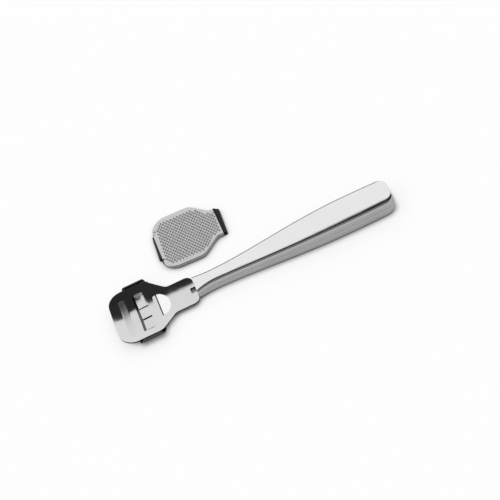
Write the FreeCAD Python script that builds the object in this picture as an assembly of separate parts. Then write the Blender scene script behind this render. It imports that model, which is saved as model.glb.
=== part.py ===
import FreeCAD, Part
import math
import os

# Callus shaver, lying on its handle. Millimetres, +Z up, +X from the head to the handle's end.
# While the pieces are made, x = 0 is the handle's mouth. At the end they all move so that the
# origin is the middle of the handle's flat underside, on the surface that it lies on.

# Handle, pressed as an upper and a lower half from thin sheet and joined along the sides.
handle_length = 109.5
handle_wall = 0.6
mouth_width = 12.3
waist_width = 9.4
belly_width = 18.7
end_width = 17.8
waist_at = 10.0
belly_share = 0.785
waist_height = 6.6
belly_height = 8.9
mouth_lift = 0.85
mouth_drop = 0.65
crown_radius_base = 10.0
crown_radius_gain = 4.0
crown_angle = 5.0
corner_radius = 1.4
end_corner_radius = 5.0
end_upsweep_length = 8.0
end_upsweep = 5.8
end_top_edge = 0.8
end_shares = (1.1, 0.7, 0.4, 0.2, 0.05, 0)
hollow_end_shares = (1.1, 0.55, 0.2, 0)
outer_span_count = 6
hollow_span_count = 4
cavity_end_wall = 1.2
corner_room = 5.5
taper_lead = 0.85
seam_step = 0.1
sole_trim = 0.05

# Head plate, one pressed sheet: a dish that curls up at its front, a tail and a tang.
plate_thickness = 0.8
tang_seat_gap = 0.05
dish_radius = 64.0
head_front = 45.4
head_half_width = 18.5
front_bow = 0.7
front_corner_share = 0.46
shoulder_start = 23.4
shoulder_end = 14.0
shoulder_corner_radius = 5.0
neck_radius = 4.0
tail_half_width = 9.65
tail_end_radius = 3.6
tail_stop_gap = 0.3
tang_length = 14.0
tang_side_gap = 0.35
curl_start = 36.0
curl_radius = 24.0

# Pressed and pierced features of the head plate, placed from the handle's mouth.
panel_at = 38.15
panel_width = 3.5
panel_length = 27.0
panel_relief = 0.25
window_front = 32.4
window_back = 25.9
window_length = 26.0
window_corner_radius = 4.5
window_gap = 1.1
window_side_gap = 1.0
flap_drop = 0.15
tongue_width = 7.4
tongue_slit = 0.5
wing_slope = 2.6
tongue_slope = 1.2
slit_at = 20.5
slit_width = 0.45
slit_length = 15.4
louvre_circle = 7.6
louvre_behind = 1.9
louvre_rise = 1.3
notch_length = 2.8
notch_width = 3.8

# Blade, held between the head plate and the spring clamp below it.
blade_overhang = 0.2
blade_width = 8.6
blade_thickness = 0.25
blade_edge_at = 21.6
blade_bevel = 1.1
blade_notch = 1.3
blade_pocket = 0.35
sheet_gap = 0.05

# Spring clamp under the plate, with an ear hooked round each side of the head.
clamp_thickness = 0.6
clamp_back = 22.4
clamp_front = 41.2
clamp_inset = 1.6
ear_front = 36.2
ear_back = 22.4
ear_gap = 0.15
ear_inner_radius = 1.0
ear_turn = 135.0
ear_corner_radius = 2.0

# Rasp plate that clips over the head's skin side. It lies beside the shaver, teeth up.
rasp_sheet = 0.5
rasp_margin = 0.6
rasp_rim_depth = 1.3
rasp_rim_bevel = 0.35
rasp_length = 35.4
rasp_hook_depth = 2.2
rasp_hook_return = 2.6
rasp_hook_radius = 0.35
rasp_front_bend = 1.0
rasp_front_reach = 1.5
rasp_front_slope = 36.0
rasp_front_hook_share = 0.935
rasp_relief_slot = 0.6
rasp_relief_hole = 0.6
rasp_relief_offset = 2.0
rasp_tail_reach = 3.1
rasp_tail_hook_width = 18.8
tooth_pitch_along = 1.87
tooth_pitch_across = 2.76
tooth_height = 0.5
tooth_gap = 0.05
tooth_sink = 0.02
tooth_margin = 1.3
rasp_x = 8.6
rasp_y = 38.6
rasp_yaw = -2.9

# Sizes that follow from the ones above.
belly_at = handle_length * belly_share
front_corner_radius = head_half_width * front_corner_share
rasp_front_hook_width = head_half_width * rasp_front_hook_share
blade_length = 2 * (head_half_width + blade_overhang)
rest_x = (waist_at + handle_length - end_upsweep_length) / 2
dish_bottom = mouth_lift + handle_wall + tang_seat_gap
dish_top = dish_bottom + plate_thickness
dish_axis_z = dish_top + dish_radius
under_radius = dish_radius + plate_thickness
blade_inner_radius = under_radius + blade_pocket
clamp_inner_radius = blade_inner_radius + blade_thickness + sheet_gap
clamp_outer_radius = clamp_inner_radius + clamp_thickness
tang_half_width = waist_width / 2 - handle_wall - tang_side_gap

# Working sizes: a reach past every piece, a level under them all and stock that is trimmed off.
far = 40.0
floor_level = -5.0
spare = 1.0


def vec(x, y, z):
    return FreeCAD.Vector(x, y, z)


def rounded_face(points):
    """A flat face in XY from corners (x, y, radius), each corner rounded by its own arc."""
    count = len(points)
    starts = []
    ends = []
    arcs = []
    for i in range(count):
        x, y, radius = points[i]
        before = points[i - 1]
        after = points[(i + 1) % count]
        corner = vec(x, y, 0)
        to_before = (vec(before[0], before[1], 0) - corner).normalize()
        to_after = (vec(after[0], after[1], 0) - corner).normalize()
        if radius == 0:
            starts.append(corner)
            ends.append(corner)
            continue
        half = to_before.getAngle(to_after) / 2
        reach = radius / math.tan(half)
        first = corner + to_before * reach
        last = corner + to_after * reach
        inward = (to_before + to_after).normalize()
        middle = corner + inward * (radius / math.sin(half) - radius)
        starts.append(first)
        ends.append(last)
        arcs.append(Part.Arc(first, middle, last).toShape())
    lines = []
    for i in range(count):
        begin = ends[i]
        finish = starts[(i + 1) % count]
        if begin.distanceToPoint(finish) > 1e-6:
            lines.append(Part.makeLine(begin, finish))
    return Part.Face(Part.Wire(Part.sortEdges(lines + arcs)[0]))


def mirrored(half):
    """Closes an outline that is given for y >= 0, from front to back, by its mirror image."""
    return half + [(x, -y, r) for x, y, r in reversed(half) if y > 0]


def upright(face, low, high):
    """The face raised from z = low to z = high."""
    raised = face.copy()
    raised.translate(vec(0, 0, low))
    return raised.extrude(vec(0, 0, high - low))


def cosine_step(low, high, t):
    return low + (high - low) * (1 - math.cos(math.pi * t)) / 2


def half_width(x):
    if x < waist_at:
        return waist_width / 2 + (mouth_width - waist_width) / 2 * (1 - x / waist_at) ** 2
    if x < belly_at:
        share = (x - waist_at) / (belly_at - waist_at)
        return cosine_step(waist_width / 2, belly_width / 2, share ** taper_lead)
    past = (x - belly_at) / (handle_length - belly_at)
    return belly_width / 2 - (belly_width - end_width) / 2 * past ** 2


def top_line(x):
    if x < waist_at:
        return waist_height - mouth_drop * (1 - x / waist_at) ** 2
    if x < belly_at:
        return cosine_step(waist_height, belly_height, (x - waist_at) / (belly_at - waist_at))
    return belly_height


def bottom_line(x):
    if x < waist_at:
        return mouth_lift * (1 - x / waist_at) ** 2
    return 0.0


def quarter_drop(distance, length, drop):
    """How far an elliptic end falls away at a distance from the tip."""
    if distance >= length:
        return 0.0
    return drop * (1 - math.sqrt(1 - (1 - distance / length) ** 2))


def handle_section(x, inset, end_x, upsweep):
    """Closed outline of the handle across X: flat top, slight crown, tight corners, upright sides."""
    left = end_x - x
    h = half_width(x) - inset - quarter_drop(left, end_corner_radius, end_corner_radius)
    top = top_line(x) - inset - quarter_drop(left, end_top_edge, end_top_edge)
    bottom = bottom_line(x) + inset + quarter_drop(left, end_upsweep_length, upsweep)
    soft = min(1.0, (top - bottom) / (corner_room - 2 * inset))
    turn = math.radians(crown_angle)
    broad = (crown_radius_base + crown_radius_gain * (h + inset) - inset) * soft
    tight = (corner_radius - inset) * soft
    flat = h - broad * math.sin(turn) - tight * (1 - math.sin(turn))
    points = []
    points.append((flat, top))
    points.append((flat + broad * math.sin(turn / 2), top - broad * (1 - math.cos(turn / 2))))
    points.append((flat + broad * math.sin(turn), top - broad * (1 - math.cos(turn))))
    low = top - broad * (1 - math.cos(turn)) - tight * math.cos(turn)
    middle = (turn + math.pi / 2) / 2
    points.append((h - tight + tight * math.sin(middle), low + tight * math.cos(middle)))
    points.append((h, low))
    right_top = [vec(x, y, z) for y, z in points]
    right_bottom = [vec(x, y, bottom + top - z) for y, z in reversed(points)]
    left_bottom = [vec(x, -p.y, p.z) for p in reversed(right_bottom)]
    left_top = [vec(x, -p.y, p.z) for p in reversed(right_top)]
    edges = []
    corners = [right_top, right_bottom, left_bottom, left_top]
    for i in range(len(corners)):
        side = corners[i]
        edges.append(Part.Arc(side[0], side[1], side[2]).toShape())
        edges.append(Part.Arc(side[2], side[3], side[4]).toShape())
        edges.append(Part.makeLine(side[4], corners[(i + 1) % len(corners)][0]))
    return Part.Wire(edges)


def handle_body(inset, start_x, end_x, upsweep, middle_spans, end_shares):
    """The handle's outer form, or with an inset its hollow, ruled from section to section."""
    stations = [start_x + (waist_at - start_x) * share for share in (0, 1 / 3, 2 / 3)]
    span = (belly_at - waist_at) / middle_spans
    stations += [waist_at + span * i for i in range(middle_spans + 1)]
    stations += [end_x - end_upsweep_length * share for share in end_shares]
    wires = [handle_section(x, inset, end_x, upsweep) for x in stations]
    return Part.makeLoft(wires, True, True)


def seam_height(x):
    """The seam runs at half the handle's height, straight from the waist to the belly."""
    rise = (belly_height - waist_height) / 2 / (belly_at - waist_at)
    return waist_height / 2 + rise * (x - waist_at)


def seam_side(above):
    """A block that holds all that lies above, or below, the seam."""
    start = -far / 2
    stop = handle_length + far / 2
    level = far if above else -far
    corners = [
        vec(start, -far, seam_height(start)),
        vec(stop, -far, seam_height(stop)),
        vec(stop, -far, level),
        vec(start, -far, level),
        vec(start, -far, seam_height(start)),
    ]
    return Part.Face(Part.makePolygon(corners)).extrude(vec(0, 2 * far, 0))


def handle_halves():
    """Upper and lower shell. The lower one is a hair smaller, so the seam shows as a fine step."""
    hollow_end = handle_length - cavity_end_wall
    hollow = handle_body(handle_wall, 0.0, hollow_end, end_upsweep - handle_wall, hollow_span_count,
                         hollow_end_shares)
    halves = []
    for above, step in ((True, 0.0), (False, seam_step)):
        outer = handle_body(step, 0.0, handle_length - step, end_upsweep, outer_span_count, end_shares)
        outer.translate(vec(0, 0, -step - sole_trim))
        outer = outer.cut(Part.makeBox(2 * handle_length, 2 * far, far, vec(-far, -far, -far)))
        halves.append(outer.cut(hollow).common(seam_side(above)))
    return halves


def dished_band(inner, outer, start, stop):
    """A slice of a sheet bent to the dish: the ring between two radii, from x = start to stop."""
    base = vec(start, 0, dish_axis_z)
    along = vec(1, 0, 0)
    big = Part.makeCylinder(outer, stop - start, base, along)
    small = Part.makeCylinder(inner, stop - start, base, along)
    reach = 2 * head_half_width
    lower = Part.makeBox(stop - start, 2 * reach, far, vec(start, -reach, floor_level))
    return big.cut(small).common(lower)


def plate_blank():
    """The bent sheet before it is trimmed: its middle line turned about the dish's axis."""
    back = tang_length
    bend = -curl_start
    tip = -head_front - spare
    angle = math.asin((bend - tip) / curl_radius)
    centre_z = dish_top + curl_radius

    def curl(radius, share):
        return vec(bend - radius * math.sin(angle * share), 0, centre_z - radius * math.cos(angle * share))

    outer = curl_radius + plate_thickness
    edges = [
        Part.makeLine(vec(back, 0, dish_top), vec(bend, 0, dish_top)),
        Part.Arc(curl(curl_radius, 0), curl(curl_radius, 0.5), curl(curl_radius, 1)).toShape(),
        Part.makeLine(curl(curl_radius, 1), curl(outer, 1)),
        Part.Arc(curl(outer, 1), curl(outer, 0.5), curl(outer, 0)).toShape(),
        Part.makeLine(vec(bend, 0, dish_bottom), vec(back, 0, dish_bottom)),
        Part.makeLine(vec(back, 0, dish_bottom), vec(back, 0, dish_top)),
    ]
    profile = Part.Face(Part.Wire(edges))
    half_turn = math.degrees(math.asin((head_half_width + spare) / dish_radius))
    axis = vec(1, 0, 0)
    profile.rotate(vec(0, 0, dish_axis_z), axis, -half_turn)
    return profile.revolve(vec(0, 0, dish_axis_z), axis, 2 * half_turn)


def head_outline(grow, back, tail_corner):
    """The head's plan from its bowed front to a straight end at x = back, grown all round."""
    side = head_half_width + grow
    front = -head_front - grow
    tail = tail_half_width + grow
    half = [
        (front, 0, 0),
        (front + front_bow, side, front_corner_radius + grow),
        (-shoulder_start, side, shoulder_corner_radius + grow),
        (-shoulder_end, tail, neck_radius - grow),
        (back, tail, tail_corner),
    ]
    return rounded_face(mirrored(half))


def louvre_sphere(inset):
    """The ball whose cap is the louvre's hood: its rim on the plate is a circle."""
    radius = (louvre_circle ** 2 + louvre_rise ** 2) / (2 * louvre_rise)
    centre = vec(-slit_at - louvre_behind, 0, dish_top + louvre_rise - radius)
    return Part.makeSphere(radius - inset, centre, vec(0, 0, 1), -90, 90, 360)


def add_louvre(plate):
    """The half-round hood that rises behind the slit and opens towards it."""
    start = -slit_at + slit_width / 2
    room = Part.makeBox(far, 2 * louvre_circle, far, vec(start, -louvre_circle, dish_bottom))
    inside = louvre_sphere(plate_thickness).common(room)
    hood = louvre_sphere(0).cut(louvre_sphere(plate_thickness)).common(room)
    return plate.cut(inside).fuse(hood)


def stadium(x, length, width):
    """A slot's plan across the head, round at both ends."""
    radius = width / 2
    return rounded_face(mirrored([(x - radius, length / 2, radius), (x + radius, length / 2, radius)]))


def raise_panel(plate):
    """The bare panel pressed up near the front edge."""
    patch = upright(stadium(-panel_at, panel_length, panel_width), floor_level, far)
    piece = plate.common(patch)
    piece.translate(vec(0, 0, panel_relief))
    return plate.cut(patch).fuse(piece)


def window_plan():
    """The window's plan: tight corners at its front gap, wide ones at the flaps' roots."""
    half = window_length / 2
    corners = [
        (-window_front, half, window_gap / 2),
        (-window_back, half, window_corner_radius),
    ]
    return rounded_face(mirrored(corners))


def flap(start_y, stop_y, slope):
    """One spring flap of the window, rooted at its back edge and bent down to its free edge."""
    free = -window_front + window_gap
    root = -window_back
    sheet = dished_band(dish_radius, under_radius, free - spare, root + spare)
    sheet.rotate(vec(root, 0, dish_top), vec(0, 1, 0), -slope)
    sheet.translate(vec(0, 0, -flap_drop))
    strip = Part.makeBox(root - free, stop_y - start_y, far, vec(free, start_y, floor_level))
    return sheet.common(strip).common(upright(window_plan(), floor_level, far))


def cut_window(plate):
    """The lanced window: three flaps side by side, parted by two slits and free at the front."""
    plate = plate.cut(upright(window_plan(), floor_level, far))
    inner = tongue_width / 2
    outer = inner + tongue_slit
    reach = window_length / 2 - window_side_gap
    flaps = [
        flap(-inner, inner, tongue_slope),
        flap(outer, reach, wing_slope),
        flap(-reach, -outer, wing_slope),
    ]
    return plate.fuse(flaps)


def head_plate():
    """The head's one sheet, trimmed to its outline and tang, then pressed and pierced."""
    body = head_outline(0.0, -tail_stop_gap, tail_end_radius)
    tang_start = vec(-tail_end_radius, -tang_half_width, floor_level)
    tang = Part.makeBox(tang_length + tail_end_radius, 2 * tang_half_width, far, tang_start)
    plate = plate_blank().common(upright(body, floor_level, far).fuse(tang))
    plate = raise_panel(plate)
    plate = cut_window(plate)
    plate = add_louvre(plate)
    slit_start = vec(-slit_at - slit_width / 2, -slit_length / 2, floor_level)
    notch_start = vec(-notch_length - tail_stop_gap, -notch_width / 2, floor_level)
    plate = plate.cut(Part.makeBox(slit_width, slit_length, far, slit_start))
    plate = plate.cut(Part.makeBox(notch_length, notch_width, far, notch_start))
    return plate.removeSplitter()


def blade():
    """A thin bevelled strip bent to the dish, with a half-round notch in each end."""
    edge = -blade_edge_at
    back = edge - blade_width
    near = dish_axis_z - blade_inner_radius
    deep = near - blade_thickness
    points = [
        vec(back, 0, near),
        vec(edge - blade_bevel, 0, near),
        vec(edge, 0, (near + deep) / 2),
        vec(edge - blade_bevel, 0, deep),
        vec(back, 0, deep),
        vec(back, 0, near),
    ]
    half_turn = math.degrees(blade_length / 2 / blade_inner_radius)
    profile = Part.Face(Part.makePolygon(points))
    profile.rotate(vec(0, 0, dish_axis_z), vec(1, 0, 0), -half_turn)
    strip = profile.revolve(vec(0, 0, dish_axis_z), vec(1, 0, 0), 2 * half_turn)
    reach = blade_inner_radius * math.sin(math.radians(half_turn))
    for side in (-1, 1):
        middle = vec(edge - blade_width / 2, side * reach, floor_level)
        strip = strip.cut(Part.makeCylinder(blade_notch, far, middle, vec(0, 0, 1)))
    return strip


def ear_centre():
    """Height of the ear's curl above its root, and the turn of the dish there."""
    radius = clamp_inner_radius - ear_inner_radius
    angle = math.asin((head_half_width + ear_gap) / radius)
    return dish_axis_z - radius * math.cos(angle), angle


def ear_profile(side):
    """The curl of one ear as a ring sector across X."""
    y = head_half_width + ear_gap
    z, angle = ear_centre()
    outer = ear_inner_radius + clamp_thickness
    start = angle - math.pi / 2
    stop = start + math.radians(ear_turn)

    def at(radius, turn):
        return vec(-ear_front, side * (y + radius * math.cos(turn)), z + radius * math.sin(turn))

    middle = (start + stop) / 2
    inner = ear_inner_radius
    edges = [
        Part.Arc(at(outer, start), at(outer, middle), at(outer, stop)).toShape(),
        Part.makeLine(at(outer, stop), at(inner, stop)),
        Part.Arc(at(inner, stop), at(inner, middle), at(inner, start)).toShape(),
        Part.makeLine(at(inner, start), at(outer, start)),
    ]
    return Part.Face(Part.Wire(edges))


def ear_trim():
    """The ears' side view: a band whose two upper corners are rounded."""
    top = ear_centre()[0] + ear_inner_radius + clamp_thickness
    corners = [
        (-ear_front, -far / 2, 0),
        (-ear_front, top, ear_corner_radius),
        (-ear_back, top, ear_corner_radius),
        (-ear_back, -far / 2, 0),
    ]
    face = rounded_face(corners)
    face.rotate(vec(0, 0, 0), vec(1, 0, 0), 90)
    face.translate(vec(0, far, 0))
    return face.extrude(vec(0, -2 * far, 0))


def blade_clamp():
    """The spring clamp: a dished band with a rounded nose and two ears hooked upwards."""
    root = clamp_outer_radius * math.sin(ear_centre()[1])
    band = dished_band(clamp_inner_radius, clamp_outer_radius, -clamp_front, -clamp_back)
    wide = Part.makeBox(ear_front - ear_back, 2 * root, far, vec(-ear_front, -root, floor_level))
    side = head_half_width - clamp_inset
    nose = rounded_face(mirrored([(-clamp_front, side, front_corner_radius), (-clamp_back, side, 0)]))
    body = band.common(upright(nose, floor_level, far).fuse(wide))
    ears = []
    for side in (-1, 1):
        curl = ear_profile(side).extrude(vec(ear_front - ear_back, 0, 0))
        ears.append(curl.common(ear_trim()))
    return body.fuse(ears).removeSplitter()


def strip_face(path, thickness, radius):
    """The side view of a bent strip: a band along a path of (x, z) points, with rounded bends."""
    half = thickness / 2
    sides = []
    for sign in (1, -1):
        line = []
        for i in range(len(path)):
            here = vec(path[i][0], path[i][1], 0)
            into = None
            out = None
            if i > 0:
                into = (here - vec(path[i - 1][0], path[i - 1][1], 0)).normalize()
            if i < len(path) - 1:
                out = (vec(path[i + 1][0], path[i + 1][1], 0) - here).normalize()
            if into is None or out is None:
                along = out if into is None else into
                across = vec(-along.y, along.x, 0) * sign
                line.append((here + across * half, 0))
                continue
            bisector = (vec(-into.y, into.x, 0) + vec(-out.y, out.x, 0)).normalize()
            stretch = half / bisector.dot(vec(-out.y, out.x, 0))
            left_turn = into.x * out.y - into.y * out.x > 0
            inner = left_turn == (sign == 1)
            line.append((here + bisector * (sign * stretch), radius if inner else radius + thickness))
        sides.append(line)
    corners = sides[0] + list(reversed(sides[1]))
    face = rounded_face([(point.x, point.y, r) for point, r in corners])
    face.rotate(vec(0, 0, 0), vec(1, 0, 0), 90)
    return face


def hook(path, width):
    """A hook bent from the rasp's own sheet, as wide as stated and centred on its middle."""
    face = strip_face(path, rasp_sheet, rasp_hook_radius)
    face.translate(vec(0, width / 2, 0))
    return face.extrude(vec(0, -width, 0))


def rasp_hooks(front, back):
    """The front hook folds over the head's front edge, and the tail hook over its tail."""
    level = -rasp_sheet / 2
    floor = level - rasp_hook_depth
    bend = front + rasp_front_bend
    lip = bend - rasp_front_reach
    lip_level = level - rasp_front_reach * math.tan(math.radians(rasp_front_slope))
    front_path = [
        (bend + spare, level),
        (bend, level),
        (lip, lip_level),
        (lip, floor),
        (lip + rasp_hook_return, floor),
    ]
    end = back + rasp_tail_reach
    tail_path = [
        (back - spare, level),
        (back, level),
        (end, floor),
        (end - rasp_hook_return, floor),
    ]
    return [hook(front_path, rasp_front_hook_width), hook(tail_path, rasp_tail_hook_width)]


def rasp_tray(front, back):
    """The flat sheet with its edge turned down all round, open where the two hooks leave it."""
    outline = head_outline(rasp_margin, back, 0)
    inside = head_outline(rasp_margin - rasp_sheet, back + spare, 0)
    tray = upright(outline, -rasp_rim_depth, 0)
    top_edges = []
    for edge in tray.Edges:
        level = all(abs(v.Z) < spare / far for v in edge.Vertexes)
        at_tail = all(abs(v.X - back) < spare / far for v in edge.Vertexes)
        if level and not at_tail:
            top_edges.append(edge)
    tray = tray.makeChamfer(rasp_rim_bevel, top_edges)
    tray = tray.cut(upright(inside, -rasp_rim_depth - spare, -rasp_sheet))
    bend = front + rasp_front_bend
    gate = rasp_front_hook_width / 2 + rasp_relief_slot
    gate_start = vec(bend - 2 * rasp_front_bend, -gate, -far / 2)
    tray = tray.cut(Part.makeBox(2 * rasp_front_bend, 2 * gate, far, gate_start))
    for side in (-1, 1):
        across = side * (rasp_front_hook_width / 2 + rasp_relief_offset)
        spot = vec(bend + rasp_relief_hole, across, -far / 2)
        tray = tray.cut(Part.makeCylinder(rasp_relief_hole, far, spot, vec(0, 0, 1)))
    return tray


def tooth(x, y):
    """One rasp tooth: a pointed pyramid on a diamond."""
    along = tooth_pitch_along / 2 - tooth_gap
    across = tooth_pitch_across / 2 - tooth_gap
    centre = vec(x, y, -tooth_sink)
    tip = vec(x, y, tooth_height)
    steps = [vec(along, 0, 0), vec(0, across, 0), vec(-along, 0, 0), vec(0, -across, 0)]
    base = [centre + step for step in steps]
    faces = [Part.Face(Part.makePolygon(base + [base[0]]))]
    for i in range(len(base)):
        faces.append(Part.Face(Part.makePolygon([base[i], base[i - 1], tip, base[i]])))
    return Part.makeSolid(Part.makeShell(faces))


def rasp_teeth(front, back):
    """Rows of teeth set in a diamond lattice wherever a whole tooth fits inside the rim."""
    field = head_outline(rasp_margin - tooth_margin, back - tooth_margin / 2, 0)
    first = front + rasp_front_bend + tooth_pitch_along
    rows = int((back - first) / (tooth_pitch_along / 2))
    columns = int(head_half_width / (tooth_pitch_across / 2)) + 1
    teeth = []
    for i in range(rows):
        for j in range(-columns, columns + 1):
            if (i + j) % 2:
                continue
            x = first + i * tooth_pitch_along / 2
            y = j * tooth_pitch_across / 2
            shape = tooth(x, y)
            corners = [vec(v.X, v.Y, 0) for v in shape.Vertexes]
            if all(field.isInside(corner, tooth_gap, True) for corner in corners):
                teeth.append(shape)
    return teeth


def rasp_insert():
    front = -head_front - rasp_margin
    back = front + rasp_length
    plate = rasp_tray(front, back).fuse(rasp_hooks(front, back)).removeSplitter()
    plate = plate.fuse(rasp_teeth(front, back))
    middle = (front + back + rasp_tail_reach) / 2
    plate.translate(vec(-middle, 0, rasp_hook_depth + rasp_sheet))
    plate.rotate(vec(0, 0, 0), vec(0, 0, 1), rasp_yaw)
    plate.translate(vec(rasp_x, rasp_y, 0))
    return plate


def save(shape, name):
    shape.exportStep(os.path.join("parts", name + ".step"))


def place(shape):
    moved = shape.copy()
    moved.translate(vec(-rest_x, 0, 0))
    return moved


os.makedirs("parts", exist_ok=True)
top_shell, bottom_shell = handle_halves()
pieces = {
    "handle_top_shell": top_shell,
    "handle_bottom_shell": bottom_shell,
    "head_plate": head_plate(),
    "blade_clamp": blade_clamp(),
    "blade": blade(),
    "rasp_insert": rasp_insert(),
}
for name, piece in pieces.items():
    save(place(piece), name)
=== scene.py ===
import bmesh
import bpy
import math
from mathutils import Matrix, Vector


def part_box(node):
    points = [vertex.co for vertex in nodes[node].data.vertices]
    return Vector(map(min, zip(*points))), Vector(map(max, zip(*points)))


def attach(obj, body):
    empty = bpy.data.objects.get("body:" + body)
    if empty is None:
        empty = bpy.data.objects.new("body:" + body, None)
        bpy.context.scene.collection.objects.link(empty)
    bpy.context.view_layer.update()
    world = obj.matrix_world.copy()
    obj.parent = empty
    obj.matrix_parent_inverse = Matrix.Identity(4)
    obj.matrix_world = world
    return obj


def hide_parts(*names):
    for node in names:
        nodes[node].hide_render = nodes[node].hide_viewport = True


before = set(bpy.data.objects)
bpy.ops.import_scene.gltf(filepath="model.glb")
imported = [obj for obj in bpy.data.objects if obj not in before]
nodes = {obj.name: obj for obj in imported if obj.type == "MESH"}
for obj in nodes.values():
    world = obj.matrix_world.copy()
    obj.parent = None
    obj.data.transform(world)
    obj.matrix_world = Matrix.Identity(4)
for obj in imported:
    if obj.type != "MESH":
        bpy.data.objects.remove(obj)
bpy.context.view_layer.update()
mm = 0.001

# The camera looks down at 45 degrees across the handle and is rolled, so that the handle climbs
# to the right. Its long lens keeps the sides of the handle nearly parallel.
aim = Vector((-22.88 * mm, 10.94 * mm, 0.0))
camera_distance = 1.0
camera_elevation = math.radians(45)
camera_roll = math.radians(25.25)
picture_width = 255.8 * mm

camera_data = bpy.data.cameras.new("camera")
camera_data.lens = camera_data.sensor_width * camera_distance / picture_width
camera = bpy.data.objects.new("camera", camera_data)
bpy.context.scene.collection.objects.link(camera)
tilt = math.pi / 2 - camera_elevation
turn = Matrix.Rotation(tilt, 4, "X") @ Matrix.Rotation(-camera_roll, 4, "Z")
back = Vector((0, -math.cos(camera_elevation), math.sin(camera_elevation)))
camera.matrix_world = Matrix.Translation(aim + back * camera_distance) @ turn
bpy.context.scene.camera = camera
bpy.context.scene.view_settings.view_transform = "Standard"

# The handle is two pressed shells of thin stainless steel, joined along the sides and polished
# bright. A ring is extruded from the mouth to the end and set to the section at each step. The
# body is then cut at the seam, and each half gets its wall and an eased seam edge.
handle_low, handle_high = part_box("handle_top_shell")
mouth_x = handle_low.x
handle_length = handle_high.x - handle_low.x
mouth_half = 6.15 * mm
waist_half = 4.7 * mm
belly_half = handle_high.y
end_half = 8.9 * mm
waist_at = 10 * mm
belly_at = 0.785 * handle_length
flare = 0.85
waist_top = 6.55 * mm
belly_top = handle_high.z
mouth_lift = 0.8 * mm
mouth_drop = 0.65 * mm
sweep_length = 8 * mm
sweep_height = 3.6 * mm
end_radius = 5 * mm
end_narrowing = 0.78
end_flattening = 0.45
crown_turn = math.radians(5)
crown_base = 8 * mm
crown_gain = 3.5
side_corner = 1.4 * mm
far_crease = 0.12 * mm
near_crease = 0.04 * mm
crease_width = 0.16 * mm
crease_lip = 0.01 * mm
shell_gauge = 0.6 * mm
seam_below_middle = 0.15 * mm
seam_round = 0.22 * mm
handle_smoothing = math.radians(32)
crown_parts = 8
corner_parts = 7
neck_steps = 8
belly_steps = 30
tail_steps = 12
end_steps = 14


def half_width(x):
    """Half the handle's width at a distance from its mouth."""
    if x < waist_at:
        return waist_half + (mouth_half - waist_half) * (1 - x / waist_at) ** 2
    if x < belly_at:
        share = ((x - waist_at) / (belly_at - waist_at)) ** flare
        return waist_half + (belly_half - waist_half) * (1 - math.cos(math.pi * share)) / 2
    past = (x - belly_at) / (handle_length - belly_at)
    return belly_half - (belly_half - end_half) * past ** 2


def top_line(x):
    """Height of the handle's upper face along its middle."""
    if x < waist_at:
        return waist_top - mouth_drop * (1 - x / waist_at) ** 2
    share = min(1.0, (x - waist_at) / (belly_at - waist_at))
    return waist_top + (belly_top - waist_top) * (1 - math.cos(math.pi * share)) / 2


def bottom_line(x):
    """Height of the under side, which lifts at the mouth and sweeps up at the end."""
    if x < waist_at:
        return mouth_lift * (1 - x / waist_at) ** 2
    near = min(1.0, max(0.0, 1 - (handle_length - x) / sweep_length))
    return sweep_height * (1 - math.sqrt(1 - near ** 2))


def corner_profile(half, crease):
    """Points (inward, down) of one corner, from the slight crown past its crease to the side."""
    crown = crown_base + crown_gain * half
    inward = crown * math.sin(crown_turn) + side_corner * (1 - math.sin(crown_turn))
    points = []
    for i in range(crown_parts + 1):
        angle = crown_turn * i / crown_parts
        points.append((inward - crown * math.sin(angle), crown * (1 - math.cos(angle))))
    edge_in, edge_down = points[-1]
    points[-1] = (edge_in + crease_width, edge_down - crease_lip)
    points.append((edge_in, edge_down + crease))
    crown_fall = crown * (1 - math.cos(crown_turn))
    for i in range(1, corner_parts + 1):
        angle = crown_turn + (math.pi / 2 - crown_turn) * i / corner_parts
        down = crown_fall + side_corner * (math.cos(crown_turn) - math.cos(angle))
        points.append((side_corner * (1 - math.sin(angle)), down))
    return points


def ring(x, turned):
    """The handle's section at x, or round the end's corner once turned is over 0."""
    if turned > 0:
        half = half_width(handle_length - end_radius)
        out_x = handle_length - end_radius + end_radius * math.sin(turned)
        out_y = half - end_radius + end_radius * math.cos(turned)
    else:
        half = half_width(x)
        out_x = x
        out_y = half
    fade = turned / (math.pi / 2)
    reach = 1 - end_narrowing * fade
    depth = 1 - end_flattening * fade
    halves = []
    for crease in (far_crease, near_crease):
        upper = []
        for inward, down in corner_profile(half, crease * (1 - fade)):
            px = out_x - inward * reach * math.sin(turned)
            py = out_y - inward * reach * math.cos(turned)
            upper.append((px, py, top_line(px) - down * depth))
        lower = [(px, py, bottom_line(px) + top_line(px) - pz) for px, py, pz in reversed(upper)]
        halves.append(upper + lower)
    other = [(px, -py, pz) for px, py, pz in reversed(halves[1])]
    return [Vector((mouth_x + px, py, pz)) for px, py, pz in halves[0] + other]


def order_layer(mesh):
    """The layer that keeps each corner's place in its ring through every extrusion."""
    return mesh.verts.layers.int.get("order") or mesh.verts.layers.int.new("order")


def place_ring(piece, places):
    """Moves the selected ring of corners to its places, in the order of its first ring."""
    mesh = bmesh.from_edit_mesh(piece.data)
    layer = order_layer(mesh)
    chosen = [v for v in mesh.verts if v.select]
    for v, place in zip(sorted(chosen, key=lambda v: v[layer]), places):
        v.co = place
    bmesh.update_edit_mesh(piece.data)


def pick_edges(piece, test):
    """In edit mode, selects only the edges that pass the test."""
    bpy.ops.mesh.select_mode(type="EDGE")
    bpy.ops.mesh.select_all(action="DESELECT")
    mesh = bmesh.from_edit_mesh(piece.data)
    for edge in mesh.edges:
        if test(edge):
            edge.select_set(True)
    mesh.select_flush_mode()
    bmesh.update_edit_mesh(piece.data)


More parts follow.
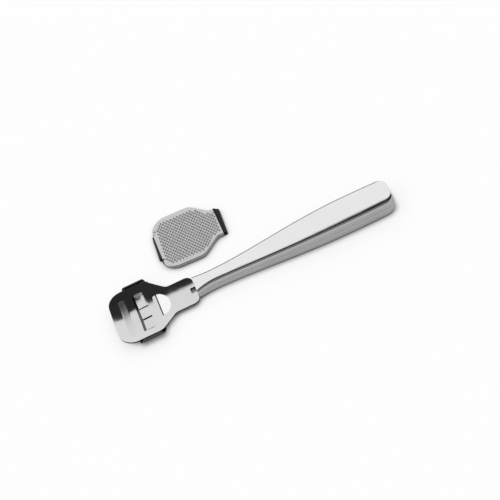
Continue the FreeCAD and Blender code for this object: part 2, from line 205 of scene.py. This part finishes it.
def apply_modifier(piece, kind, **settings):
    """Adds a modifier with these settings and applies it."""
    bpy.ops.object.select_all(action="DESELECT")
    piece.select_set(True)
    bpy.context.view_layer.objects.active = piece
    modifier = piece.modifiers.new(kind.lower(), kind)
    for key, value in settings.items():
        setattr(modifier, key, value)
    bpy.ops.object.modifier_apply(modifier=modifier.name)


def add_node(tree, kind, inputs, **settings):
    """Adds a shader node with its settings; an input gets a value or another node's output."""
    node = tree.nodes.new("ShaderNode" + kind)
    for key, value in settings.items():
        setattr(node, key, value)
    for name, value in inputs.items():
        if isinstance(value, bpy.types.NodeSocket):
            tree.links.new(value, node.inputs[name])
        else:
            node.inputs[name].default_value = value
    return node


def math_node(tree, kind, *values):
    """Works out one step of shader maths on numbers or other nodes' outputs."""
    return add_node(tree, "Math", dict(enumerate(values)), operation=kind).outputs[0]


def ramp(tree, value, low, high, start, stop, interpolation="SMOOTHSTEP"):
    """Maps a value between two limits, with soft ends unless told otherwise."""
    limits = {"From Min": low, "From Max": high, "To Min": start, "To Max": stop}
    inputs = {"Value": value, **limits}
    return add_node(tree, "MapRange", inputs, interpolation_type=interpolation).outputs["Result"]


def mix_colours(tree, share, first, second):
    """Mixes two colours by a share from 0 to 1."""
    inputs = {"Factor": share, "A": first, "B": second}
    return add_node(tree, "Mix", inputs, data_type="RGBA").outputs["Result"]


def new_group(name, inputs, outputs):
    """An empty shader group with its sockets, and its input and output nodes."""
    group = bpy.data.node_groups.new(name, "ShaderNodeTree")
    for label, kind in inputs:
        group.interface.new_socket(label, in_out="INPUT", socket_type="NodeSocket" + kind)
    for label in outputs:
        group.interface.new_socket(label, in_out="OUTPUT", socket_type="NodeSocketFloat")
    return group, group.nodes.new("NodeGroupInput"), group.nodes.new("NodeGroupOutput")


smudge_scale = 90
smudge_range = (0.35, 0.7)
wave_scale = 170
scratch_scale = 900
scratch_stretch = (0.18, 1, 1)
scratch_share = 0.06
polish_roughness = (0.05, 0.13)


def polish_group():
    """Broad smudges, the roughness they make, and the height of fine scratches and waves."""
    group, start, end = new_group("polish", [("Vector", "Vector")], ["Roughness", "Shade", "Height"])
    place = start.outputs["Vector"]
    smudge = add_node(group, "TexNoise", {"Vector": place, "Scale": smudge_scale, "Detail": 3})
    along = add_node(group, "Mapping", {"Vector": place, "Scale": scratch_stretch})
    fine = {"Vector": along.outputs["Vector"], "Scale": scratch_scale, "Detail": 4, "Distortion": 1.5}
    scratch = add_node(group, "TexNoise", fine)
    wave = add_node(group, "TexNoise", {"Vector": place, "Scale": wave_scale, "Detail": 1})
    shade = smudge.outputs["Fac"]
    rough = ramp(group, shade, *smudge_range, *polish_roughness, "LINEAR")
    height = math_node(group, "MULTIPLY_ADD", scratch.outputs["Fac"], scratch_share, wave.outputs["Fac"])
    group.links.new(rough, end.inputs["Roughness"])
    group.links.new(shade, end.inputs["Shade"])
    group.links.new(height, end.inputs["Height"])
    return group


def new_steel(name):
    """A bare metal material, its node tree, its shader and the place on the piece."""
    material = bpy.data.materials.new(name)
    material.use_nodes = True
    tree = material.node_tree
    shader = tree.nodes["Principled BSDF"]
    shader.inputs["Metallic"].default_value = 1.0
    return material, tree, shader, add_node(tree, "TexCoord", {}).outputs["Object"]


def rounded_edges(tree, radius):
    """The normal of the piece with its sharp edges softened."""
    return add_node(tree, "Bevel", {"Radius": radius}, samples=4).outputs["Normal"]


polish = polish_group()
wear_height = 0.05 * mm


def polished_steel(name, dark, light, wear_strength, edge):
    """Mirror steel: two close greys mixed by the smudges, fine scratches and soft edges."""
    material, tree, shader, place = new_steel(name)
    wear = add_node(tree, "Group", {"Vector": place}, node_tree=polish).outputs
    tint = mix_colours(tree, wear["Shade"], (*dark, 1), (*light, 1))
    inputs = {"Strength": wear_strength, "Distance": wear_height, "Height": wear["Height"]}
    bump = add_node(tree, "Bump", {**inputs, "Normal": rounded_edges(tree, edge)})
    tree.links.new(tint, shader.inputs["Base Color"])
    tree.links.new(wear["Roughness"], shader.inputs["Roughness"])
    tree.links.new(bump.outputs["Normal"], shader.inputs["Normal"])
    return material


def dress(piece, material):
    """Gives every slot of a piece this material."""
    if not piece.data.materials:
        piece.data.materials.append(material)
    for i in range(len(piece.data.materials)):
        piece.data.materials[i] = material


handle_look = polished_steel("handle_steel", dark=(0.76, 0.76, 0.77), light=(0.84, 0.84, 0.85),
                             wear_strength=0.35, edge=0.12 * mm)

last_x = handle_length - end_radius
steps = [(waist_at * i / neck_steps, 0.0) for i in range(neck_steps + 1)]
steps += [(waist_at + (belly_at - waist_at) * i / belly_steps, 0.0) for i in range(1, belly_steps + 1)]
steps += [(belly_at + (last_x - belly_at) * i / tail_steps, 0.0) for i in range(1, tail_steps + 1)]
steps += [(last_x, math.pi / 2 * i / end_steps) for i in range(1, end_steps + 1)]
rings = [ring(x, turned) for x, turned in steps]
rings.append([Vector((p.x, 0, p.z)) for p in rings[-1]])

bpy.ops.object.select_all(action="DESELECT")
bpy.ops.mesh.primitive_circle_add(vertices=len(rings[0]), radius=waist_half, fill_type="NOTHING")
body = bpy.context.object
bpy.ops.object.mode_set(mode="EDIT")
mesh = bmesh.from_edit_mesh(body.data)
layer = order_layer(mesh)
mesh.verts.ensure_lookup_table()
for i, v in enumerate(mesh.verts):
    v[layer] = i
bmesh.update_edit_mesh(body.data)
place_ring(body, rings[0])
for places in rings[1:]:
    bpy.ops.mesh.extrude_region_move()
    place_ring(body, places)
bpy.ops.mesh.select_all(action="SELECT")
bpy.ops.mesh.remove_doubles(threshold=0.001 * mm)
bpy.ops.mesh.normals_make_consistent(inside=False)
bpy.ops.object.mode_set(mode="OBJECT")

seam_start = Vector((mouth_x, 0, waist_top / 2 - seam_below_middle))
seam_rise = (belly_top - waist_top) / 2 / (belly_at - waist_at)
seam_normal = Vector((-seam_rise, 0, 1)).normalized()


def on_seam_outside(edge):
    """True for an edge that runs along the outer side of a shell's cut rim."""
    hair = 0.01 * mm
    if any(abs((v.co - seam_start).dot(seam_normal)) > hair for v in edge.verts):
        return False
    side = [f for f in edge.link_faces if abs(f.normal.dot(seam_normal)) < 0.5]
    if len(edge.link_faces) != 2 or not side:
        return False
    middle = (edge.verts[0].co + edge.verts[1].co) / 2
    centre = Vector((min(middle.x, mouth_x + handle_length - end_radius * 2), 0, middle.z))
    return side[0].normal.dot(middle - centre) > 0 and middle.x > mouth_x + hair


def handle_shell(name, above, node):
    """One half of the handle: cut at the seam, given its wall, with the outer seam edge eased."""
    bpy.ops.object.select_all(action="DESELECT")
    body.select_set(True)
    bpy.context.view_layer.objects.active = body
    bpy.ops.object.duplicate()
    shell = bpy.context.object
    shell.name = name
    bpy.ops.object.mode_set(mode="EDIT")
    bpy.ops.mesh.select_all(action="SELECT")
    bpy.ops.mesh.bisect(plane_co=seam_start, plane_no=seam_normal, clear_inner=above,
                        clear_outer=not above)
    bpy.ops.object.mode_set(mode="OBJECT")
    apply_modifier(shell, "SOLIDIFY", thickness=shell_gauge, offset=-1.0, use_even_offset=True)
    bpy.ops.object.mode_set(mode="EDIT")
    pick_edges(shell, on_seam_outside)
    bpy.ops.mesh.bevel(offset_type="OFFSET", offset=seam_round, segments=3, affect="EDGES",
                       clamp_overlap=True)
    bpy.ops.object.mode_set(mode="OBJECT")
    bpy.ops.object.shade_smooth_by_angle(angle=handle_smoothing)
    dress(shell, handle_look)
    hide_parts(node)
    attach(shell, "root")


handle_shell("handle_top", True, "handle_top_shell")
handle_shell("handle_bottom", False, "handle_bottom_shell")
bpy.data.objects.remove(body)

# The head is one pressed sheet of stainless steel: a dish that curls up at its front, with a
# narrow tang gripped in the handle's mouth. It is a fine grid with the panel, the three spring
# flaps and the hood pressed in, thickened and then sheared to its outline and slots.
dish_radius = 64 * mm
dish_top = 2.3 * mm
plate = 0.8 * mm
head_front = -45.4 * mm
nose_bow = 0.7 * mm
head_half = 18.5 * mm
nose_corner_radius = 8.51 * mm
shoulder_at = -23.4 * mm
shoulder_radius = 5 * mm
neck_at = -14 * mm
neck_radius = 4 * mm
curl_start = -36 * mm
curl_radius = 24 * mm
tail_end = -0.3 * mm
tail_half = 9.65 * mm
tail_radius = 3.6 * mm
notch_depth = 2.8 * mm
notch_half = 1.9 * mm
tang_half = 3.75 * mm
tang_end = 14 * mm
tang_radius = 0.6 * mm
panel_at = -38.15 * mm
panel_width = 3.5 * mm
panel_straight = 11.75 * mm
panel_rise = 0.1 * mm
panel_ease = 0.25 * mm
window_front = -32.4 * mm
window_back = -25.9 * mm
window_half = 13 * mm
flap_front = -31.1 * mm
wing_root = -27.6 * mm
tongue_half = 3.45 * mm
wing_start = 4.2 * mm
wing_stop = 12 * mm
near_slit_extra = 0.3 * mm
cut_overlap = 0.3 * mm
tongue_sag = 0.15 * mm
wing_sag = 0.3 * mm
wing_flatness = 0.42
wing_ease = 0.3
slit_front = -20.85 * mm
slit_back = -20.2 * mm
slit_half = 7.7 * mm
hood_back = -14.6 * mm
hood_slope = math.tan(math.radians(6.8))
hood_fade = 9.3 * mm
hood_border = (0.9, 1.0)
head_smoothing = math.radians(30)


def clamped(value, low, high):
    """How far a value lies between two limits, from 0 to 1, with soft ends."""
    share = min(1.0, max(0.0, (value - low) / (high - low)))
    return share * share * (3 - 2 * share)


def sheet_line(x):
    """Height of the sheet's upper face along the middle, curled up at the front."""
    past = max(0.0, curl_start - x)
    return dish_top + curl_radius - math.sqrt(curl_radius ** 2 - past ** 2)


def dished(x, y):
    """Height of the plain dish at any place."""
    axis = dish_top + dish_radius
    reach = axis - sheet_line(x)
    return axis - math.sqrt(reach ** 2 - y ** 2)


def panel_step(x, y):
    """The long raised panel near the front edge, with eased borders."""
    off = math.hypot(x - panel_at, max(0.0, abs(y) - panel_straight))
    return panel_rise * (1 - clamped(off, panel_width / 2 - panel_ease, panel_width / 2))


def flap_drop(x, y):
    """The two wings and the tongue between them sag towards their free front edge."""
    if not window_front < x < window_back or abs(y) >= window_half:
        return 0.0
    away = (window_back - max(x, flap_front)) / (window_back - flap_front)
    if abs(y) <= tongue_half:
        return away * tongue_sag
    flatter = wing_flatness * (dished(x, y) - dished(x, wing_start))
    outer = 1 - clamped(abs(y), wing_stop, window_half)
    return (away * wing_sag + clamped(away, 0.0, wing_ease) * flatter) * outer


def hood_rise(x, y):
    """The half-round hood: a flat slope that rises to the slit and meets the dish in a curve."""
    if x < slit_front:
        return 0.0
    along = max(0.0, x - slit_back) / (hood_back - slit_back)
    border = 1 - clamped(math.hypot(along, max(0.0, y) / slit_half), *hood_border)
    fade = 1 - clamped(-y, slit_half, hood_fade)
    slope = dish_top + (hood_back - max(x, slit_back)) * hood_slope
    return max(0.0, slope - dished(x, y)) * border * fade


def head_place(x, y):
    """The place of one crossing of the head's grid."""
    height = dished(x, y) + panel_step(x, y) - flap_drop(x, y) + hood_rise(x, y)
    return Vector((mouth_x + x, y, height))


def spaced(stops):
    """Values from stop to stop, each stretch (end, count) cut into equal steps."""
    values = [stops[0]]
    for end, count in stops[1:]:
        start = values[-1]
        values += [start + (end - start) * i / count for i in range(1, count + 1)]
    return values


def sheet(name, xs, ys, place, thickness):
    """A grid of sheet metal with every crossing set in place, then thickened on its under side."""
    bpy.ops.object.select_all(action="DESELECT")
    bpy.ops.mesh.primitive_grid_add(x_subdivisions=len(xs) - 1, y_subdivisions=len(ys) - 1,
                                    size=2 * head_half)
    piece = bpy.context.object
    piece.name = name
    bpy.ops.object.mode_set(mode="EDIT")
    mesh = bmesh.from_edit_mesh(piece.data)
    mesh.verts.ensure_lookup_table()
    for i, v in enumerate(mesh.verts):
        v.co = place(xs[i % len(xs)], ys[i // len(xs)])
    bmesh.update_edit_mesh(piece.data)
    bpy.ops.object.mode_set(mode="OBJECT")
    apply_modifier(piece, "SOLIDIFY", thickness=thickness, offset=-1.0, use_even_offset=True)
    return piece


def rounded(corners, parts=10):
    """Points of a closed outline whose corners (x, y, radius) are rounded."""
    points = []
    for i, (x, y, radius) in enumerate(corners):
        here = Vector((x, y))
        before = (Vector(corners[i - 1][:2]) - here).normalized()
        after = (Vector(corners[(i + 1) % len(corners)][:2]) - here).normalized()
        half = before.angle(after) / 2
        if radius == 0:
            points.append(here)
            continue
        centre = here + (before + after).normalized() * radius / math.sin(half)
        first = here + before * radius / math.tan(half) - centre
        last = here + after * radius / math.tan(half) - centre
        for k in range(parts + 1):
            way = first.lerp(last, k / parts)
            points.append(centre + way.normalized() * radius)
    return points


def mirrored(half):
    """Closes an outline that is given for y over 0, from front to back, by its mirror image."""
    return half + [(x, -y, r) for x, y, r in reversed(half) if y > 0]


def rectangle(x0, x1, y0, y1):
    """A rectangular outline."""
    return [Vector(p) for p in ((x0, y0), (x1, y0), (x1, y1), (x0, y1))]


# The sheared edges are painted near black: a painted dark reflection that outlines the plate.
painted_dark_edge_look = polished_steel("sheared_edge_painted_dark", dark=(0.07, 0.07, 0.08), light=(0.11, 0.11, 0.12),
                           wear_strength=0.5, edge=0.05 * mm)


def cut(piece, points, operation):
    """Cuts a piece with an upright block on an outline. The new faces are the sheared edges, which take
    the near-black painted shade.
    """
    low = -5 * mm
    high = 20 * mm
    bpy.ops.object.select_all(action="DESELECT")
    bpy.ops.mesh.primitive_circle_add(vertices=len(points), radius=head_half, fill_type="NGON")
    block = bpy.context.object
    bpy.ops.object.mode_set(mode="EDIT")
    mesh = bmesh.from_edit_mesh(block.data)
    mesh.verts.ensure_lookup_table()
    for v, point in zip(mesh.verts, points):
        v.co = (mouth_x + point.x, point.y, low)
    bmesh.update_edit_mesh(block.data)
    bpy.ops.mesh.select_all(action="SELECT")
    bpy.ops.mesh.extrude_region_move(TRANSFORM_OT_translate={"value": (0, 0, high - low)})
    bpy.ops.mesh.select_all(action="SELECT")
    bpy.ops.mesh.normals_make_consistent(inside=False)
    bpy.ops.object.mode_set(mode="OBJECT")
    dress(block, painted_dark_edge_look)
    apply_modifier(piece, "BOOLEAN", operation=operation, object=block, solver="EXACT",
                   material_mode="TRANSFER")
    bpy.data.objects.remove(block)


# The hood's lighter colour is a painted highlight.
painted_hood_highlight = (0.93, 0.93, 0.93, 1)
panel_dullness = 0.17
spot_ease = (0.92, 1.02)


def spot(tree, place, centre_x, half_x, straight, half_y):
    """1 inside an oval or a long rounded spot, 0 outside, and the place across it."""
    split = add_node(tree, "SeparateXYZ", {"Vector": place}).outputs
    across = math_node(tree, "SUBTRACT", split["X"], centre_x)
    across = math_node(tree, "DIVIDE", across, half_x)
    past = math_node(tree, "SUBTRACT", math_node(tree, "ABSOLUTE", split["Y"]), straight)
    along = math_node(tree, "DIVIDE", math_node(tree, "MAXIMUM", past, 0.0), half_y)
    square = math_node(tree, "MULTIPLY", across, across)
    square = math_node(tree, "ADD", square, math_node(tree, "MULTIPLY", along, along))
    return ramp(tree, math_node(tree, "SQRT", square), *spot_ease, 1.0, 0.0), across


head_look = polished_steel("head_steel", dark=(0.62, 0.62, 0.63), light=(0.72, 0.72, 0.73),
                           wear_strength=0.7, edge=0.12 * mm)
tree = head_look.node_tree
shader = tree.nodes["Principled BSDF"]
place = add_node(tree, "TexCoord", {}).outputs["Object"]
# The hood's slope is painted lighter, a painted highlight for the bright wall it reflects.
inside, across = spot(tree, place, mouth_x + slit_back, hood_back - slit_back, 0.0, slit_half)
painted_light_mask = math_node(tree, "MULTIPLY", inside, math_node(tree, "GREATER_THAN", across, 0.0))
plain = shader.inputs["Base Color"].links[0].from_socket
tree.links.new(mix_colours(tree, painted_light_mask, plain, painted_hood_highlight), shader.inputs["Base Color"])
inside, across = spot(tree, place, mouth_x + panel_at, panel_width / 2, panel_straight, panel_width / 2)
dull = math_node(tree, "MULTIPLY", inside, panel_dullness)
dull = math_node(tree, "ADD", dull, shader.inputs["Roughness"].links[0].from_socket)
tree.links.new(dull, shader.inputs["Roughness"])

# The grid reaches past the outline and is finest over the panel and the hood.
grid_margin = 1 * mm
panel_front = -40.3 * mm
hood_side = 8 * mm
head_xs = spaced([
    head_front - grid_margin, (panel_front, 7), (curl_start, 24), (window_front, 3), (flap_front, 1),
    (window_back, 5), (slit_front, 5), (slit_back, 1), (hood_back, 18), (tang_end + grid_margin, 14),
])
right_ys = spaced([
    0.0, (tongue_half, 7), (wing_start, 1), (hood_side, 10), (wing_stop, 8), (window_half, 2),
    (head_half + grid_margin, 12),
])
head_ys = [-y for y in reversed(right_ys[1:])] + right_ys
head = sheet("head", head_xs, head_ys, head_place, plate)
dress(head, head_look)

outline = [
    (head_front, 0, 0),
    (head_front + nose_bow, head_half, nose_corner_radius),
    (shoulder_at, head_half, shoulder_radius),
    (neck_at, tail_half, neck_radius),
    (tail_end, tail_half, tail_radius),
    (tail_end, tang_half, 0),
    (tang_end, tang_half, tang_radius),
]
cut(head, rounded(mirrored(outline)), "INTERSECT")
slots = [
    rectangle(window_front, flap_front, -window_half, window_half),
    rectangle(slit_front, slit_back, -slit_half, slit_half),
    rectangle(tail_end - notch_depth, tail_end, -notch_half, notch_half),
]
flap_cut = flap_front - cut_overlap
for side, slit_stop in ((-1, wing_start + near_slit_extra), (1, wing_start)):
    slots.append(rectangle(flap_cut, window_back, *sorted((side * tongue_half, side * slit_stop))))
    slots.append(rectangle(flap_cut, wing_root, *sorted((side * wing_stop, side * window_half))))
for points in slots:
    cut(head, points, "DIFFERENCE")
bpy.ops.object.shade_smooth_by_angle(angle=head_smoothing)
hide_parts("head_plate")
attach(head, "root")

# The blade is a thin exchangeable strip, held bent between the head and the clamp. It keeps its
# CAD shape and gets the straight grain of ground steel. Its dark tone is painted shade, for the
# shade under the plate where it shows through the slots.
grain_stretch = (1, 0.08, 1)
grain_darkening = 0.85
grain_roughening = (0.8, 1.3)


def grain_group():
    """A straight grain: fine noise drawn out across X, at a scale that each material gives."""
    group, start, end = new_group("grain", [("Vector", "Vector"), ("Scale", "Float")], ["Grain"])
    along = add_node(group, "Mapping", {"Vector": start.outputs["Vector"], "Scale": grain_stretch})
    inputs = {"Vector": along.outputs["Vector"], "Scale": start.outputs["Scale"], "Detail": 5}
    group.links.new(add_node(group, "TexNoise", inputs).outputs["Fac"], end.inputs["Grain"])
    return group


grain = grain_group()


def ground_steel(name, colour, roughness, grain_scale, edge):
    """Ground steel: a grain in its tone and its roughness, with softened edges."""
    material, tree, shader, place = new_steel(name)
    inputs = {"Vector": place, "Scale": grain_scale}
    lines = add_node(tree, "Group", inputs, node_tree=grain).outputs["Grain"]
    dark = [c * grain_darkening for c in colour]
    smooth, coarse = [roughness * share for share in grain_roughening]
    tree.links.new(mix_colours(tree, lines, (*dark, 1), (*colour, 1)), shader.inputs["Base Color"])
    tree.links.new(ramp(tree, lines, 0.0, 1.0, smooth, coarse, "LINEAR"), shader.inputs["Roughness"])
    tree.links.new(rounded_edges(tree, edge), shader.inputs["Normal"])
    return material


# A painted shade: the blade's dark colour stands for the shade it lies in under the plate.
blade_look = ground_steel("blade_steel", colour=(0.2, 0.21, 0.22), roughness=0.22,
                          grain_scale=2500, edge=0.03 * mm)
dress(nodes["blade"], blade_look)

# The spring clamp holds the blade from below: a dished band of spring steel with a rounded
# nose and, on either side, an ear curled up round the head's edge. It is drawn along its bend.
clamp_inner = 65.45 * mm
clamp_sheet = 0.6 * mm
clamp_front = -41.2 * mm
clamp_back = -22.4 * mm
nose_half = 16.9 * mm
nose_corner = 8.5 * mm
ear_front = -36.2 * mm
ear_y = 18.65 * mm
ear_curl = 1.0 * mm
ear_turn = math.radians(135)
ear_corner = 3.4 * mm
ear_tip = 0.02 * mm
clamp_smoothing = math.radians(35)
band_parts = 30
ear_parts = 18
clamp_axis = dish_top + dish_radius
ear_lean = math.asin(ear_y / (clamp_inner - ear_curl))
ear_z = clamp_axis - (clamp_inner - ear_curl) * math.cos(ear_lean)

bend = []
for i in range(band_parts + 1):
    lean = ear_lean * i / band_parts
    bend.append((clamp_inner * math.sin(lean), clamp_axis - clamp_inner * math.cos(lean), 0.0))
for i in range(1, ear_parts + 1):
    curled = ear_turn * i / ear_parts
    turned = ear_lean - math.pi / 2 + curled
    left = ear_curl * (ear_turn - curled) + ear_tip
    bend.append((ear_y + ear_curl * math.cos(turned), ear_z + ear_curl * math.sin(turned), left))
bend = [(-y, z, left) for y, z, left in reversed(bend[1:])] + bend


def corner_cut(gap, radius):
    """How far a rounded corner is cut back at a distance from its straight side."""
    if gap >= radius:
        return 0.0
    return radius - math.sqrt(radius ** 2 - (radius - gap) ** 2)


def clamp_place(share, index):
    """A point of the clamp's inner face: along X by share, along the bend by index."""
    y, z, left = bend[index]
    trim = corner_cut(left, ear_corner) if left > 0 else 0.0
    front = ear_front
    if abs(y) < nose_half:
        front = min(ear_front, clamp_front + corner_cut(nose_half - abs(y), nose_corner))
    return Vector((mouth_x + front + trim + (clamp_back - front - 2 * trim) * share, y, z))


# The clamp's near-black colour is painted shade, for the shade and dark reflections under the head.
clamp_painted_dark_look = polished_steel("clamp_steel", dark=(0.09, 0.09, 0.1), light=(0.15, 0.15, 0.16),
                            wear_strength=0.5, edge=0.1 * mm)
clamp = sheet("clamp", spaced([0.0, (1.0, 12)]), range(len(bend)), clamp_place, clamp_sheet)
bpy.ops.object.shade_smooth_by_angle(angle=clamp_smoothing)
dress(clamp, clamp_painted_dark_look)
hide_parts("blade_clamp")
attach(clamp, "root")

# The rasp plate is one stamped sheet of stainless steel, with raised teeth, a turned-down rim and
# a hook at either end that clips it over the head. It keeps its CAD shape and gets a dull ground
# finish. The hooks and the foot of the rim are painted black: a painted shade for the dark
# reflections they show.
rasp_low, rasp_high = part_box("rasp_insert")
front_hook = 1.7 * mm
tail_hook = 2.9 * mm
hook_ease = 0.4 * mm
foot_height = 1.65 * mm
hook_height = 3.25 * mm
painted_shade_ease = 0.05 * mm
painted_shade_black = (0.02, 0.02, 0.02, 1)

rasp_look = ground_steel("rasp_steel", colour=(0.7, 0.7, 0.71), roughness=0.24,
                         grain_scale=1500, edge=0.1 * mm)
tree = rasp_look.node_tree
shader = tree.nodes["Principled BSDF"]
place = add_node(tree, "TexCoord", {}).outputs["Object"]
split = add_node(tree, "SeparateXYZ", {"Vector": place}).outputs
plate_start = rasp_low.x + front_hook
plate_end = rasp_high.x - tail_hook
plate_half = (plate_end - plate_start) / 2
off_middle = math_node(tree, "SUBTRACT", split["X"], plate_start + plate_half)
off_middle = math_node(tree, "ABSOLUTE", off_middle)
lift = hook_height - foot_height
spared = ramp(tree, off_middle, plate_half - hook_ease, plate_half, lift, 0.0, "LINEAR")
height = math_node(tree, "ADD", split["Z"], spared)
# Below these heights the steel is painted black, a painted shade on the hooks and the foot of the rim.
painted_light_mask = ramp(tree, height, hook_height - painted_shade_ease, hook_height + painted_shade_ease, 0.0, 1.0, "LINEAR")
plain = shader.inputs["Base Color"].links[0].from_socket
tree.links.new(mix_colours(tree, painted_light_mask, painted_shade_black, plain), shader.inputs["Base Color"])
dress(nodes["rasp_insert"], rasp_look)

# The table is plain white. Its soft, close shadow under the object is partly painted: ambient
# occlusion darkens its colour and dims its glow near the object. In the steel it shows as a mid
# grey, because polished steel in an all-white room would show no form.
floor_size = 3.0
shadow_reach = 3.6 * mm
shadow_range = (0.4, 0.95)
open_glow = 0.6
mirrored_grey = (0.52, 0.52, 0.52, 1)

bpy.ops.object.select_all(action="DESELECT")
bpy.ops.mesh.primitive_plane_add(size=floor_size, location=(0, 0, 0))
floor = bpy.context.object
floor.name = "floor"
floor_look = bpy.data.materials.new("floor")
floor_look.use_nodes = True
tree = floor_look.node_tree
shader = tree.nodes["Principled BSDF"]
shader.inputs["Roughness"].default_value = 1.0
shader.inputs["Specular IOR Level"].default_value = 0.0
near = add_node(tree, "AmbientOcclusion", {"Distance": shadow_reach}, samples=8)
# A painted contact shadow: the ambient occlusion darkens the table's colour and its glow.
tree.links.new(near.outputs["Color"], shader.inputs["Base Color"])
glow = ramp(tree, near.outputs["AO"], *shadow_range, 0.0, open_glow, "LINEAR")
light = add_node(tree, "Emission", {}).outputs["Emission"]
seen = add_node(tree, "MixShader", {"Fac": glow, 1: shader.outputs["BSDF"], 2: light}).outputs["Shader"]
grey = add_node(tree, "BsdfDiffuse", {"Color": mirrored_grey}).outputs["BSDF"]
in_steel = add_node(tree, "LightPath", {}).outputs["Is Glossy Ray"]
either = add_node(tree, "MixShader", {"Fac": in_steel, 1: seen, 2: grey}).outputs["Shader"]
tree.links.new(either, tree.nodes["Material Output"].inputs["Surface"])
floor.data.materials.append(floor_look)

# The studio round it is seen only in the steel: a bright wall beyond the object, softer walls at
# both sides, one dark card above, a grey ceiling and a dim wall behind the camera. The camera
# itself and all soft light see plain white.
wall_top = math.radians(52)
wall_lean = 0.5
wall_ease = 0.06
side_wall = 0.55
side_start = (math.radians(44), math.radians(54))
side_top = (math.radians(31), math.radians(41))
dark_card = 0.03
card_end = (math.radians(79), math.radians(86))
ceiling = 0.4
ceiling_end = (math.radians(98), math.radians(106))
back_wall = 0.13

world = bpy.data.worlds.new("studio")
bpy.context.scene.world = world
world.use_nodes = True
tree = world.node_tree
background = tree.nodes["Background"]
background.inputs["Color"].default_value = (1, 1, 1, 1)
way = add_node(tree, "TexCoord", {}).outputs["Generated"]
split = add_node(tree, "SeparateXYZ", {"Vector": way}).outputs
right = split["X"]
away = split["Y"]
up = split["Z"]
slant = math_node(tree, "ADD", up, math_node(tree, "MULTIPLY", right, wall_lean))
margin = math_node(tree, "SUBTRACT", math_node(tree, "MULTIPLY", away, math.tan(wall_top)), slant)
bright_wall = ramp(tree, margin, -wall_ease, wall_ease, 0.0, 1.0)
pitch = math_node(tree, "ARCTAN2", up, away)
overhead = ramp(tree, pitch, *card_end, dark_card, ceiling)
behind = ramp(tree, pitch, *ceiling_end, ceiling, back_wall)
azimuth = math_node(tree, "ABSOLUTE", math_node(tree, "ARCTAN2", right, away))
beside = ramp(tree, azimuth, *side_start, 0.0, side_wall)
below_top = ramp(tree, math_node(tree, "ARCSINE", up), *side_top, 1.0, 0.0)
studio = math_node(tree, "MAXIMUM", bright_wall, math_node(tree, "MINIMUM", overhead, behind))
studio = math_node(tree, "MAXIMUM", studio, math_node(tree, "MULTIPLY", beside, below_top))
rays = add_node(tree, "LightPath", {}).outputs
white = math_node(tree, "MAXIMUM", rays["Is Camera Ray"], rays["Is Diffuse Ray"])
tree.links.new(math_node(tree, "MAXIMUM", studio, white), background.inputs["Strength"])
